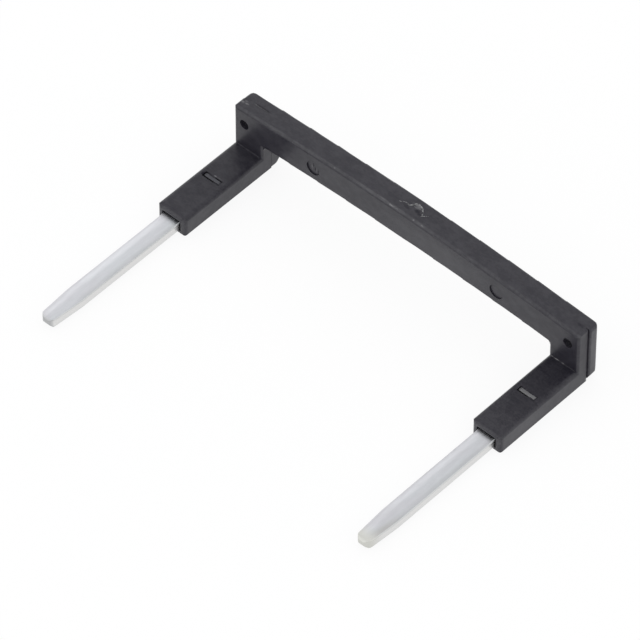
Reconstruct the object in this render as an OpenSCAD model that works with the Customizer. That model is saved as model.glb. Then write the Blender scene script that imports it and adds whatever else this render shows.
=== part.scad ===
// Shorting bar: an insulated two-pin jumper for neighbouring relay sockets.
// A folded metal strip runs through a moulded bar, comes down at both ends and leaves two sleeves as pins.
// X runs along the bar, the pins point to -Y and the sleeves lie flat on z = 0.
// The origin is under the middle of the whole part. All sizes are in millimetres.

/* [Bar] */
// Distance between the middles of the two pins
pitch = 38; // [24:0.5:60]
// Thickness of the front shell, from its front face to the seam
shell_t = 1.25; // [1.1:0.05:1.6]
// Height of the bar
bar_h = 3.35; // [2.8:0.05:5]
// Height of the bar's underside above the table, at its ends
bar_z = 3.6; // [3.2:0.05:6]
// Rise of the bar's middle above its ends
arch = 0.65; // [0.2:0.05:1.2]

/* [Sleeves] */
// Width of each sleeve and of the drop above it
sleeve_w = 3.4; // [3:0.1:5]
// Height of each sleeve
sleeve_h = 2.2; // [2:0.05:3]
// Length of each sleeve in front of the bar
sleeve_len = 10.2; // [7:0.05:20]
// Plastic under the pin
floor_t = 0.35; // [0.3:0.05:0.6]
// Width of the mouth where the pin leaves the sleeve
mouth_w = 2.25; // [2.15:0.05:2.8]
// Depth of the mouth
mouth_depth = 0.4; // [0.2:0.1:2]
// Gap over the pin in the mouth
mouth_gap = 0.25; // [0.1:0.05:0.4]
// Gap between the rib and each side of the window in the sleeve's roof
window_side = 0.1; // [0.04:0.02:0.24]
// Length of the window along the sleeve
window_len = 0.64; // [0.6:0.02:1.5]
// Distance from the bar's front face to the window
window_back = 4.45; // [2:0.05:6]

/* [Conductor] */
// Width of each pin
pin_w = 1.95; // [1.5:0.05:2.1]
// Thickness of the metal strip
sheet_t = 1; // [0.6:0.05:1.1]
// Length of each pin in front of its sleeve
pin_len = 16.3; // [8:0.1:30]
// Width of the pin at its tip
tip_w = 1.45; // [1.3:0.05:1.5]
// Length of the tapered tip
tip_len = 3.7; // [2:0.1:6]
// Radius of the tip's two corners
tip_r = 0.55; // [0.1:0.05:0.6]
// Rounding along the stamped edges of the pins
pin_edge_r = 0.12; // [0.05:0.01:0.2]
// Rounding from the pins' flat sides into their end faces
point_r = 0.32; // [0.1:0.02:0.4]
// Height of the strip inside the bar
strip_h = 1.9; // [1.2:0.1:2.2]
// Inside radius of the fold at the foot of each drop
fold_r = 0.35; // [0.2:0.05:0.5]
// Length of the rib that stands in the window
rib_len = 0.42; // [0.3:0.02:0.5]
// Width of the rib
rib_w = 1.8; // [1.2:0.05:1.85]
// Gap between the rib and the back of the window
rib_gap = 0.05; // [0.04:0.01:0.1]
// Depth of the rib's top below the top of the sleeve
rib_drop = 0.05; // [0:0.05:0.4]
// Rounding along the top of the rib
rib_edge_r = 0.08; // [0.04:0.01:0.12]

/* [Moulding marks] */
// Diameter of the two round marks on the front face
mark_d = 1.55; // [1:0.05:2]
// Distance between the round marks
mark_pitch = 22; // [10:0.5:30]
// Depth of the round marks
mark_depth = 0.12; // [0.04:0.02:0.4]
// Diameter of the two small holes near the ends
hole_d = 1.05; // [0.6:0.05:1.3]
// Distance from the small holes to the end faces
hole_edge = 1.25; // [1:0.05:1.6]
// Height of marks and holes above the bar's underside
mark_rise = 1.55; // [1.2:0.05:1.9]
// Height of the two ridges that the torn-off gate left on the bar's top
gate_rise = 0.1; // [0.05:0.01:0.2]
// Depth of the ridges' axes below the surface
gate_sink = 0.04; // [0.02:0.01:0.1]
// Length of each ridge
gate_len = 1.1; // [0.8:0.05:2]
// Distance of the front ridge from the bar's middle, to the left
gate_left = 0.85; // [0.3:0.05:3]
// Distance of the back ridge from the bar's middle, to the right
gate_right = 0.3; // [0:0.05:3]
// Distance from the front ridge to the seam
gate_front_gap = 0.04; // [0.03:0.01:0.3]
// Distance from the seam to the back ridge
gate_back_gap = 0.26; // [0.03:0.01:0.5]

/* [Fits and edges] */
// Plastic in front of the strip
front_wall = 0.75; // [0.5:0.05:1]
// Plastic behind the strip
back_wall = 0.68; // [0.5:0.01:1]
// Clearance between the strip and its pocket
clear = 0.06; // [0.03:0.01:0.15]
// Step from the front shell down to the cover along the top, the underside and the inner sides
seam_step = 0.03; // [0:0.01:0.15]
// How far the cover stands out past the front shell at the left-hand end
cover_over_left = 0.04; // [0:0.01:0.2]
// How far the cover stands out past the front shell at the right-hand end
cover_over_right = 0.25; // [0:0.01:0.3]
// Width of the dark gap along the seam on the upright sides
seam_gap = 0.06; // [0.04:0.01:0.25]
// Depth of that gap
seam_gap_depth = 0.3; // [0.1:0.05:0.45]
// Length of the place near the left-hand end where the seam is open on the top
seam_top_len = 2; // [1:0.1:4]
// Distance from the middle of that place to the end
seam_top_edge = 2.1; // [0.5:0.1:4]
// Width of the open seam on the top
seam_top_gap = 0.16; // [0.05:0.01:0.2]
// Depth of the open seam on the top
seam_top_depth = 0.1; // [0.04:0.02:0.3]
// Rounding along the outer edges
edge_r = 0.2; // [0.08:0.01:0.3]
// Rounding along the bar's upper front edge
brow_r = 0.35; // [0.1:0.05:0.5]
// Rounding of the upright front edges at the bar's ends
end_r = 0.3; // [0.1:0.05:0.4]
// Rounding of the cover's upright back edges at the bar's ends
cover_end_r = 0.5; // [0.1:0.05:0.8]
// Rounding of the cover's lower outer corners
cover_foot_r = 1.1; // [0.1:0.05:1.4]
// Rounding of the cover's upright edges along the seam
cover_lip_r = 0.2; // [0.05:0.01:0.28]
// Rounding along the upper edges of the sleeves
sleeve_r = 0.45; // [0.1:0.05:0.5]
// Rounding along the lower edges of the sleeves
base_r = 0.12; // [0.05:0.01:0.3]
// Rounding of the sleeves' front ends
nose_r = 0.4; // [0.1:0.05:0.45]
// Radius of the front shell's upper end corners
corner_r = 0.2; // [0.15:0.05:0.8]
// Radius of the cover's upper end corners
cover_corner_r = 0.35; // [0.2:0.05:0.9]
// Radius inside the corner of bar and drop
inner_r = 0.65; // [0.2:0.05:0.8]
// Radius of the cover's lower back edge
heel_r = 1.15; // [0.4:0.05:1.2]
// Fillet between the sleeves and the bar's front face
foot_r = 0.06; // [0.05:0.01:0.3]

/* [Hidden] */
plastic = "#434247";
tin = "#cdd0d4";
$fn = 64;
// Facets on a whole circle of the arch, which spans only a few degrees of it
arch_fn = 3600;
// How far a cut or a joined piece runs past the face that it meets
past = 0.5;
merge = 0.1;

bar_len = pitch + sleeve_w;
half_len = bar_len / 2;
drop_in = half_len - sleeve_w;
// Where the front shell and the cover end, to the left and to the right of the middle
shell_ends = [half_len, half_len];
cover_ends = [half_len + cover_over_left, half_len + cover_over_right];
bar_depth = front_wall + sheet_t + clear + back_wall;
cover_t = bar_depth - shell_t;
front_y = (sleeve_len + pin_len - bar_depth) / 2;
seam_y = front_y + shell_t;
mouth_y = front_y - sleeve_len;
tip_y = mouth_y - pin_len;
pin_top = floor_t + sheet_t;
window_w = rib_w + 2 * window_side;
gate_r = gate_rise + gate_sink;

// The bar's underside, strip and top are arcs about one centre below the part
arch_r = bar_len * bar_len / (8 * arch) + arch / 2;
arch_z = bar_z + arch - arch_r;
arch_angle = asin((half_len + past) / arch_r);
strip_low_r = arch_r + (bar_h - strip_h) / 2;
strip_mid_r = arch_r + bar_h / 2;
strip_y = front_y + front_wall;
strip_end = (pitch + pin_w) / 2;
fold_y = strip_y - fold_r;
fold_z = pin_top + fold_r;
// Angle of the tip's flanks
tip_angle = atan((pin_w - tip_w) / 2 / tip_len);

// Height of an arc of radius r at the place x along the bar
function arc_z(r, x) = arch_z + sqrt(r * r - x * x);

// What rounds a corner that lies at the origin, cut from it or filled into it
module corner(r) {
    difference() {
        translate([-merge, -merge]) square(r + merge);
        translate([r, r]) circle(r);
    }
}

// Rectangle with its own radius at each corner: lower left, lower right, upper right, upper left
module rounded_rect(x, y, w, h, radii) {
    translate([x, y]) difference() {
        square([w, h]);
        for (i = [0:3]) if (radii[i] > 0)
            translate([i == 1 || i == 2 ? w : 0, i > 1 ? h : 0]) rotate(90 * i) corner(radii[i]);
    }
}

// Outline in X and Z, carried along Y
module along_y(y, len) {
    translate([0, y + len, 0]) rotate([90, 0, 0]) linear_extrude(len) children();
}

// Outline in Y and Z, carried along X
module along_x(x, len) {
    translate([x, 0, 0]) rotate([90, 0, 90]) linear_extrude(len) children();
}

// The same shape at both ends of the bar, mirrored
module both_ends() {
    for (side = [0, 1]) mirror([side, 0, 0]) children();
}

// Section carried along the arch, from the height low above the underside
// Its radii are those of the lower back, upper back, upper front and lower front edge
module bar_sweep(y, depth, low, height, radii) {
    translate([0, 0, arch_z]) rotate([90, 0, 0]) rotate(90 - arch_angle)
        rotate_extrude(angle = 2 * arch_angle, $fn = arch_fn)
            rounded_rect(arch_r + low, -y - depth, height, depth, radii);
}

// Front view of the bar with its two upper corners rounded into the arch
module bar_outline(inset, ends, r) {
    top_r = arch_r + bar_h - inset;
    for (side = [0, 1]) mirror([1 - side, 0]) {
        corner_x = ends[side] - r;
        corner_z = arch_z + sqrt(pow(top_r - r, 2) - corner_x * corner_x);
        square([ends[side], corner_z]);
        translate([corner_x, corner_z]) circle(r);
        intersection() {
            translate([0, arch_z]) circle(top_r, $fn = arch_fn);
            square([corner_x, bar_z + arch + bar_h + past]);
        }
    }
}

// One half of the bar between two depths: the radii of its section, of its plan and of its upper end corners
module bar_half(y, depth, inset, ends, section_radii, plan_radii, end_corner_r) {
    intersection() {
        bar_sweep(y, depth, inset, bar_h - 2 * inset, section_radii);
        along_y(y - past, depth + 2 * past) bar_outline(inset, ends, end_corner_r);
        linear_extrude(bar_z + arch + bar_h + past)
            rounded_rect(-ends[0], y, ends[0] + ends[1], depth, plan_radii);
    }
}

// Fillet under the bar where the right-hand drop begins
module inner_fillet(y, depth, inset) {
    x = drop_in + inset;
    along_y(y, depth) translate([x, arc_z(arch_r + inset, x)]) rotate(180) corner(inner_r);
}

// Upright outline of the folded strip, with room all round and legs that end at the height foot_z
module strip_outline(room, foot_z) {
    end_x = strip_end + room;
    intersection() {
        translate([0, arch_z]) difference() {
            circle(strip_low_r + strip_h + room, $fn = arch_fn);
            circle(strip_low_r - room, $fn = arch_fn);
        }
        translate([-end_x, 0]) square([2 * end_x, bar_z + arch + bar_h]);
    }
    for (side = [-1, 1])
        translate([side * pitch / 2 - pin_w / 2 - room, foot_z])
            square([pin_w + 2 * room, arc_z(strip_mid_r, strip_end) - foot_z]);
}

// Outside of the right-hand sleeve, running back under the drop as far as the seam
module sleeve_form() {
    depth = sleeve_len + shell_t;
    section_radii = [base_r, base_r, sleeve_r, sleeve_r];
    intersection() {
        along_y(mouth_y, depth) rounded_rect(drop_in, 0, sleeve_w, sleeve_h, section_radii);
        linear_extrude(sleeve_h) rounded_rect(drop_in, mouth_y, sleeve_w, depth, [nose_r, nose_r, 0, 0]);
        along_x(drop_in, sleeve_w) rounded_rect(mouth_y, 0, depth, sleeve_h, [base_r, 0, 0, sleeve_r]);
    }
}

// Right-hand drop of the front shell, from inside the sleeve up into the bar
module shell_drop() {
    foot_z = sleeve_h / 2;
    translate([0, 0, foot_z]) linear_extrude(arc_z(strip_mid_r, drop_in) - foot_z)
        rounded_rect(drop_in, front_y, sleeve_w, shell_t, [end_r, end_r, 0, 0]);
    along_x(drop_in + end_r, sleeve_w - 2 * end_r)
        translate([front_y, sleeve_h]) mirror([1, 0]) corner(foot_r);
    inner_fillet(front_y + edge_r, shell_t - edge_r, 0);
}

// Room inside the right-hand sleeve for the pin, with its mouth and its window
module sleeve_room() {
    room_w = pin_w + 2 * clear;
    room_x = pitch / 2 - room_w / 2;
    room_h = sheet_t + clear;
    translate([room_x, mouth_y - past, floor_t]) cube([room_w, seam_y - mouth_y + 2 * past, room_h]);
    along_x(room_x, room_w) translate([strip_y, floor_t + room_h]) mirror([1, 0]) corner(fold_r);
    along_y(mouth_y - past, mouth_depth + past)
        rounded_rect((pitch - mouth_w) / 2, floor_t, mouth_w, sheet_t + mouth_gap, [0, 0, edge_r, edge_r]);
    translate([(pitch - window_w) / 2, front_y - window_back - window_len, floor_t + sheet_t / 2])
        cube([window_w, window_len, sleeve_h]);
}

// Round cut into the front face, at the given place along the bar
module front_bore(x, d, depth) {
    translate([x, front_y - past, arc_z(arch_r + mark_rise, x)])
        rotate([-90, 0, 0]) cylinder(d = d, h = depth + past);
}

// Low ridge along the top of the bar, where the gate was torn off: a spindle that is half sunk in the surface
module gate_ridge(x, y, inset) {
    arc_r = (pow(gate_len / 2, 2) + gate_r * gate_r) / (2 * gate_r);
    translate([x, y, arc_z(arch_r + bar_h - inset, x) - gate_sink]) rotate([0, 90, 0]) rotate_extrude()
        intersection() {
            translate([gate_r - arc_r, 0]) circle(arc_r);
            translate([0, -gate_len]) square([gate_r + past, 2 * gate_len]);
        }
}

// Front shell of the bar, the two drops and the two sleeves, moulded as one piece
module front_housing() {
    color(plastic) difference() {
        union() {
            bar_half(front_y, shell_t, 0, shell_ends, [0, 0, brow_r, edge_r], [end_r, end_r, 0, 0], corner_r);
            gate_ridge(-gate_left, seam_y - gate_front_gap - gate_r, 0);
            both_ends() {
                shell_drop();
                sleeve_form();
            }
        }
        along_y(strip_y, shell_t) strip_outline(clear, floor_t);
        both_ends() {
            sleeve_room();
            front_bore(mark_pitch / 2, mark_d, mark_depth);
            front_bore(half_len - hole_edge, hole_d, front_wall + past);
        }
    }
}

// Right-hand drop of the cover, out to end_x, with its rounded heel
module cover_drop(end_x) {
    left = drop_in + seam_step;
    width = end_x - left;
    height = arc_z(strip_mid_r, drop_in);
    back_r = min(heel_r, cover_t);
    intersection() {
        linear_extrude(height) rounded_rect(left, seam_y, width, cover_t, [0, 0, cover_end_r, edge_r]);
        along_x(left, width) rounded_rect(seam_y, seam_step, cover_t, height, [0, back_r, 0, 0]);
        along_y(seam_y, cover_t) rounded_rect(left, seam_step, width, height, [edge_r, cover_foot_r, 0, 0]);
    }
    inner_fillet(seam_y, cover_t - edge_r, seam_step);
}

// Gap along the seam on the upright sides of the right-hand end, where the cover reaches out to end_x
module seam_gaps(end_x) {
    tall = bar_z + arch + bar_h + 2 * past;
    translate([half_len - seam_step - seam_gap_depth, seam_y - past, -past])
        cube([seam_gap_depth + past, seam_gap + past, tall]);
    translate([end_x, seam_y + seam_gap, -past]) linear_extrude(tall) rotate(90) corner(cover_lip_r);
    translate([drop_in - past, seam_y - past, -past])
        cube([past + seam_step + seam_gap_depth, seam_gap + past, arc_z(arch_r, drop_in) - inner_r + past]);
}

// Open seam on the top near the left-hand end, shallow like a saw cut so that it fades out both ways
module top_gap() {
    x = seam_top_edge - half_len;
    cut_r = (pow(seam_top_len / 2, 2) + pow(seam_top_depth, 2)) / (2 * seam_top_depth);
    cut_z = arc_z(arch_r + bar_h - seam_step, x) - seam_top_depth + cut_r;
    translate([x, seam_y - past, cut_z]) rotate([-90, 0, 0]) cylinder(r = cut_r, h = past + seam_top_gap);
}

// Rear shell that closes the bar and the drops
module back_cover() {
    pocket_t = max(0, strip_y + sheet_t + clear - seam_y);
    color(plastic) difference() {
        union() {
            bar_half(seam_y, cover_t, seam_step, cover_ends, [edge_r, edge_r, 0, 0],
                [0, 0, cover_end_r, cover_end_r], cover_corner_r);
            gate_ridge(gate_right, seam_y + gate_back_gap + gate_r, seam_step);
            for (side = [0, 1]) mirror([1 - side, 0, 0]) cover_drop(cover_ends[side]);
        }
        along_y(seam_y - past, past + pocket_t) strip_outline(clear, floor_t);
        for (side = [0, 1]) mirror([1 - side, 0, 0]) seam_gaps(cover_ends[side]);
        top_gap();
    }
}

// Straight bar with the strip's section, whose right flank lies on the local Y axis
module flank_bar(width, len) {
    along_y(0, len) rounded_rect(-width, 0, width, sheet_t, [pin_edge_r, pin_edge_r, pin_edge_r, pin_edge_r]);
}

// Bar whose right flank runs from the pin's shoulder in to the tip, big enough to hold the whole pin
module tapered_flank(len) {
    translate([pin_w / 2, tip_len, 0]) rotate(-tip_angle) translate([0, -len, 0]) flank_bar(len, 2 * len);
}

// Plan of the tip, with corner arcs that run smoothly into the tapered flanks
module tip_plan(len) {
    corner_x = tip_w / 2 - tip_r * (1 - sin(tip_angle)) / cos(tip_angle);
    translate([-corner_x, 0]) square([2 * corner_x, tip_r]);
    for (side = [-1, 1]) translate([side * corner_x, tip_r]) circle(tip_r);
    translate([-pin_w, tip_r * (1 - sin(tip_angle))]) square([2 * pin_w, len]);
}

// Pin with its tip at the origin: a straight bar whose end is cut by two inclined ones and rounded off
module pin(len) {
    intersection() {
        translate([pin_w / 2, 0, 0]) flank_bar(pin_w, len);
        tapered_flank(len);
        mirror([1, 0, 0]) tapered_flank(len);
        linear_extrude(sheet_t) tip_plan(len);
        along_x(-pin_w, 2 * pin_w) rounded_rect(0, 0, len, sheet_t, [point_r, 0, 0, point_r]);
    }
}

// Side view of the fold that turns the strip forward at the foot of a drop
module fold_outline() {
    outer_r = fold_r + sheet_t;
    translate([fold_y, fold_z]) intersection() {
        difference() {
            circle(outer_r);
            circle(fold_r);
        }
        translate([0, -outer_r]) square(outer_r);
    }
    translate([fold_y - merge, floor_t]) square([merge, sheet_t]);
    translate([strip_y, fold_z]) square([sheet_t, merge]);
}

// Rib across the pin that stands up into the window of the sleeve
module rib() {
    root_z = floor_t + sheet_t / 2;
    along_x((pitch - rib_w) / 2, rib_w)
        rounded_rect(front_y - window_back - rib_gap - rib_len, root_z, rib_len, sleeve_h - rib_drop - root_z,
            [0, 0, rib_edge_r, rib_edge_r]);
}

// Stamped strip that stands on edge in the bar, comes down at both ends and is folded forward into two pins
module conductor() {
    color(tin) {
        along_y(strip_y, sheet_t) strip_outline(0, fold_z);
        both_ends() {
            along_x((pitch - pin_w) / 2, pin_w) fold_outline();
            translate([pitch / 2, tip_y, floor_t]) pin(fold_y - tip_y);
            rib();
        }
    }
}

front_housing();
back_cover();
conductor();
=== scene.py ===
# %% [markdown]
# # A shorting bar on white paper
# The object is a small jumper for relay sockets: a black moulded bar with two sleeves, and a tinned strip
# inside it that comes out as two flat pins. The solids are already true to size, so this lesson adds what
# they lack: the camera, the light, the finishes, blunt corners on the cover and the pins, the torn spot where
# the plastic was pulled off its gate, and burrs in the windows of the sleeves. Sizes of the part are written
# in millimetres, in the part's own frame, so a piece is placed by the same numbers as the solids.

# %% Load the part
import math

import bmesh
import bpy
import numpy as np
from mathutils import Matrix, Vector


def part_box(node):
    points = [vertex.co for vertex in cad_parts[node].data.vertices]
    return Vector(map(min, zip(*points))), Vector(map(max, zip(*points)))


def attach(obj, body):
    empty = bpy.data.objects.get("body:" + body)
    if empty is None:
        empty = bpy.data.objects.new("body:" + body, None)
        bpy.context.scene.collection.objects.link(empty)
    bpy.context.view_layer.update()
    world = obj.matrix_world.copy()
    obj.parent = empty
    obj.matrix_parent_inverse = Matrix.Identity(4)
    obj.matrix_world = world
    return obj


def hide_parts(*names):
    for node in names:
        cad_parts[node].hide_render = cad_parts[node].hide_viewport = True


MM = 0.001
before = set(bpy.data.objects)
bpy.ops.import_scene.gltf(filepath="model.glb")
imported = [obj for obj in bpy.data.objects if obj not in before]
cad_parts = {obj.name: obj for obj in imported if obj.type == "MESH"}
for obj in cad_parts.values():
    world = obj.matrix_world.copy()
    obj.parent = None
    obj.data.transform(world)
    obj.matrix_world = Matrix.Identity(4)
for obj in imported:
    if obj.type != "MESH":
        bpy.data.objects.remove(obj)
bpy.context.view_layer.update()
housing_low, housing_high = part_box("front_housing")
cover_low, cover_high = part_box("back_cover")
metal_low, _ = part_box("conductor")

# %% [markdown]
# ## The camera
# The picture was taken from far away with a long lens: edges that are parallel on the part stay almost
# parallel. The angles and the distance below come from fitting the part's straight edges. The camera looks
# from that place at the point that has to lie in the middle of the frame, which needs no lens shift.

# %% Camera
VIEW_AZIMUTH = math.radians(42.25)
VIEW_ELEVATION = math.radians(48.46)
VIEW_DISTANCE = 656 * MM
FRAME_PIXELS = 640
PIXELS_PER_MM = 11.227
SENSOR_MM = 36
# A point in the middle of the part, and the pixel where it lies
MIDDLE = Vector((0, 3.99, 2.0)) * MM
MIDDLE_PIXEL = (343.15, 306.05)


def add_camera():
    """Places the camera on the line of sight and turns it to the point in the middle of the frame."""
    right = Vector((math.cos(VIEW_AZIMUTH), math.sin(VIEW_AZIMUTH), 0))
    level = Vector((math.sin(VIEW_AZIMUTH), -math.cos(VIEW_AZIMUTH), 0))
    back = level * math.cos(VIEW_ELEVATION) + Vector((0, 0, math.sin(VIEW_ELEVATION)))
    up = back.cross(right)
    pixel = MM / PIXELS_PER_MM
    across = (FRAME_PIXELS / 2 - MIDDLE_PIXEL[0]) * pixel
    down = (FRAME_PIXELS / 2 - MIDDLE_PIXEL[1]) * pixel
    data = bpy.data.cameras.new("camera")
    data.sensor_width = SENSOR_MM
    data.lens = SENSOR_MM * VIEW_DISTANCE / (FRAME_PIXELS * pixel)
    camera = bpy.data.objects.new("camera", data)
    camera.location = MIDDLE + back * VIEW_DISTANCE
    aim = MIDDLE + right * across - up * down
    camera.rotation_euler = (aim - camera.location).to_track_quat("-Z", "Y").to_euler()
    bpy.context.scene.collection.objects.link(camera)
    bpy.context.scene.camera = camera
    return camera


camera = add_camera()
print("lens in mm:", round(camera.data.lens, 1))

# %% [markdown]
# ## A small kit for shader nodes
# A material is a graph of nodes. These helpers keep the graphs short: one places a node and fills or links
# its sockets, one does a sum, one makes a smooth step and one mixes two colours. They all take a socket
# wherever a number can stand, so a fixed value can become a pattern later without other changes.

# %% Node helpers


def connect(tree, socket, value):
    """Links another socket to this one, or sets a plain value on it."""
    if isinstance(value, bpy.types.NodeSocket):
        tree.links.new(value, socket)
    else:
        socket.default_value = value


def place(tree, kind, inputs=None, **settings):
    """Adds a node, sets its options, and gives each named input a value or a link."""
    node = tree.nodes.new(kind)
    for name, value in settings.items():
        setattr(node, name, value)
    for name, value in (inputs or {}).items():
        connect(tree, node.inputs[name], value)
    return node


def use(tree, group, inputs=None):
    """Places a node group and gives its outputs."""
    return place(tree, "ShaderNodeGroup", inputs, node_tree=group).outputs


def calc(tree, operation, *values):
    """One Math node: the operation applied to numbers or sockets, as a socket."""
    return place(tree, "ShaderNodeMath", dict(enumerate(values)), operation=operation).outputs[0]


def ramp(tree, value, low, high, out_low=0.0, out_high=1.0):
    """A smooth step: out_low below low, out_high above high, and an S-curve between them."""
    inputs = {"Value": value, "From Min": low, "From Max": high, "To Min": out_low, "To Max": out_high}
    return place(tree, "ShaderNodeMapRange", inputs, interpolation_type="SMOOTHSTEP").outputs["Result"]


def blend(tree, amount, first, second):
    """Colour that goes from first to second as amount goes from 0 to 1."""
    node = place(tree, "ShaderNodeMix", data_type="RGBA")
    sockets = {socket.identifier: socket for socket in node.inputs}
    connect(tree, sockets["Factor_Float"], amount)
    connect(tree, sockets["A_Color"], first)
    connect(tree, sockets["B_Color"], second)
    return next(socket for socket in node.outputs if socket.identifier == "Result_Color")


def new_group(name, inputs, outputs):
    """An empty shader node group with float sockets, and its input and output nodes."""
    group = bpy.data.node_groups.new(name, "ShaderNodeTree")
    for socket, value in inputs.items():
        added = group.interface.new_socket(name=socket, in_out="INPUT", socket_type="NodeSocketFloat")
        added.default_value = value
    for socket in outputs:
        group.interface.new_socket(name=socket, in_out="OUTPUT", socket_type="NodeSocketFloat")
    return group, group.nodes.new("NodeGroupInput").outputs, group.nodes.new("NodeGroupOutput").inputs


def new_material(name):
    """A material with its node tree and its Principled shader."""
    material = bpy.data.materials.new(name)
    material.use_nodes = True
    return material, material.node_tree, material.node_tree.nodes["Principled BSDF"]


print("node helpers ready")

# %% [markdown]
# ## Paper, room and lamp
# Small parts are photographed on white paper in a white tent, and black plastic is then seen mostly by what
# it mirrors. So the room matters more than the lamp: the walls of the tent are lit from outside and are a
# little brighter than its roof, and the paper is a wide plane. The camera and mirror rays see the paper as
# plain white, and a small share of real shading is mixed in, so that the contact shadow stays on it. One
# large weak lamp overhead keeps the top of the part from looking flat.

# %% Paper, room and lamp
PAPER_HALF = 2.0
PAPER_WHITE = (0.93, 0.93, 0.93, 1)
WHITE = (1, 1, 1, 1)
SHADOW_SHARE = 0.12
ROOM_WALLS = (1.30, 1.30, 1.30, 1)
ROOM_ROOF = (0.95, 0.95, 0.96, 1)
LAMP_PLACE = Vector((-0.3, 0.2, 1.1))
LAMP_SIZE = 1.4
LAMP_WATTS = 0.3


def paper_material():
    """White with a share of shading to camera, mirror and glass rays, and plain paper to the rest."""
    material, tree, _ = new_material("paper")
    tree.nodes.clear()
    ray = tree.nodes.new("ShaderNodeLightPath").outputs
    seen = calc(tree, "MAXIMUM", ray["Is Camera Ray"], ray["Is Glossy Ray"])
    seen = calc(tree, "MAXIMUM", seen, ray["Is Transmission Ray"])
    share = calc(tree, "MULTIPLY", seen, 1 - SHADOW_SHARE)
    paper = place(tree, "ShaderNodeBsdfDiffuse", {"Color": PAPER_WHITE}).outputs[0]
    glow = place(tree, "ShaderNodeEmission", {"Color": WHITE, "Strength": 1.0}).outputs[0]
    mixed = place(tree, "ShaderNodeMixShader", {0: share, 1: paper, 2: glow}).outputs[0]
    place(tree, "ShaderNodeOutputMaterial", {"Surface": mixed})
    return material


def add_paper():
    """A wide square at the height of the part's underside."""
    mesh = bpy.data.meshes.new("paper")
    corners = np.array([(-1, -1, 0), (1, -1, 0), (1, 1, 0), (-1, 1, 0)]) * PAPER_HALF
    mesh.from_pydata(corners.tolist(), [], [(0, 1, 2, 3)])
    mesh.materials.append(paper_material())
    paper = bpy.data.objects.new("paper", mesh)
    bpy.context.scene.collection.objects.link(paper)


def light_room():
    """World colour by height: walls brighter than the roof, and white to the camera past the paper."""
    world = bpy.data.worlds.new("room")
    bpy.context.scene.world = world
    world.use_nodes = True
    tree = world.node_tree
    tree.nodes.clear()
    direction = place(tree, "ShaderNodeTexCoord").outputs["Generated"]
    height = place(tree, "ShaderNodeSeparateXYZ", {0: direction}).outputs["Z"]
    colour = blend(tree, ramp(tree, height, 0.0, 1.0), ROOM_WALLS, ROOM_ROOF)
    seen = tree.nodes.new("ShaderNodeLightPath").outputs["Is Camera Ray"]
    room = place(tree, "ShaderNodeBackground", {"Color": blend(tree, seen, colour, WHITE), "Strength": 1.0})
    place(tree, "ShaderNodeOutputWorld", {"Surface": room.outputs[0]})


def add_lamp():
    """A soft square lamp that looks at the part."""
    data = bpy.data.lights.new("lamp", "AREA")
    data.size = LAMP_SIZE
    data.energy = LAMP_WATTS
    lamp = bpy.data.objects.new("lamp", data)
    lamp.location = LAMP_PLACE
    lamp.rotation_euler = (MIDDLE - LAMP_PLACE).to_track_quat("-Z", "Y").to_euler()
    bpy.context.scene.collection.objects.link(lamp)


add_paper()
light_room()
add_lamp()
bpy.context.scene.view_settings.view_transform = "Standard"
print("paper half width in m:", PAPER_HALF, "lamp watts:", LAMP_WATTS)

# %% [markdown]
# ## Positions in millimetres
# Finishes that belong to a place, such as a rubbed edge, need to know where they are. Object coordinates
# give that, because every piece sits at the origin with its place in its mesh. This first group turns them
# into millimetres and splits them, so that the later numbers read like the sizes of the part.

# %% Group: part millimetres


def millimetre_group():
    """Object coordinates times a thousand, as three numbers."""
    group, _, out = new_group("part_millimetres", {}, ["X", "Y", "Z"])
    metres = place(group, "ShaderNodeTexCoord").outputs["Object"]
    scaled = place(group, "ShaderNodeVectorMath", {0: metres, "Scale": 1 / MM}, operation="SCALE").outputs[0]
    split = place(group, "ShaderNodeSeparateXYZ", {0: scaled}).outputs
    for axis in "XYZ":
        connect(group, out[axis], split[axis])
    return group


MILLIMETRES = millimetre_group()
print("group:", MILLIMETRES.name)

# %% [markdown]
# ## Grain
# Neither the plastic nor the tin is even. The plastic has the fine grain of its mould and broad dull clouds,
# a little longer along the bar, where it flowed, and the tin has rolled streaks along the pins. One group
# makes both scales with noise that can be stretched along X or Y, and each material gives it its own sizes.

# %% Group: grain
GRAIN_DETAIL = 3.0
GRAIN_ROUGHNESS = 0.55
# Span of values that nearly all of the fine noise lies in
FINE_SPAN = (0.2, 0.8)


def grain_group():
    """Fine and broad noise over X, Y and Z in millimetres, with X and Y divided by their stretch."""
    inputs = {"Fine per mm": 8.0, "Broad per mm": 0.5, "Stretch X": 1.0, "Stretch Y": 1.0}
    group, source, out = new_group("grain", inputs, ["Fine", "Broad"])
    at = use(group, MILLIMETRES)
    x = calc(group, "DIVIDE", at["X"], source["Stretch X"])
    y = calc(group, "DIVIDE", at["Y"], source["Stretch Y"])
    vector = place(group, "ShaderNodeCombineXYZ", {"X": x, "Y": y, "Z": at["Z"]}).outputs[0]
    for name in ("Fine", "Broad"):
        inputs = {"Vector": vector, "Scale": source[name + " per mm"]}
        inputs.update({"Detail": GRAIN_DETAIL, "Roughness": GRAIN_ROUGHNESS})
        connect(group, out[name], place(group, "ShaderNodeTexNoise", inputs).outputs[0])
    return group


GRAIN = grain_group()
print("group:", GRAIN.name, "outputs: Fine, Broad")

# %% [markdown]
# ## Rubbed edges
# Where the bar was handled, its upper front edge is rubbed to a pale line. The group takes the distance from
# an edge and the position along it. It fades out with the distance and lets the line come and go with long
# noise, so the same group can rub any edge for which a distance can be worked out.

# %% Group: rubbed edge
RUB_DETAIL = 5.0
RUB_ROUGHNESS = 0.65
# Share of the reach that is rubbed in full, and the noise above the cut where rubbing starts and is full
RUB_FULL = 0.2
RUB_STEP = (-0.1, 0.2)


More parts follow.
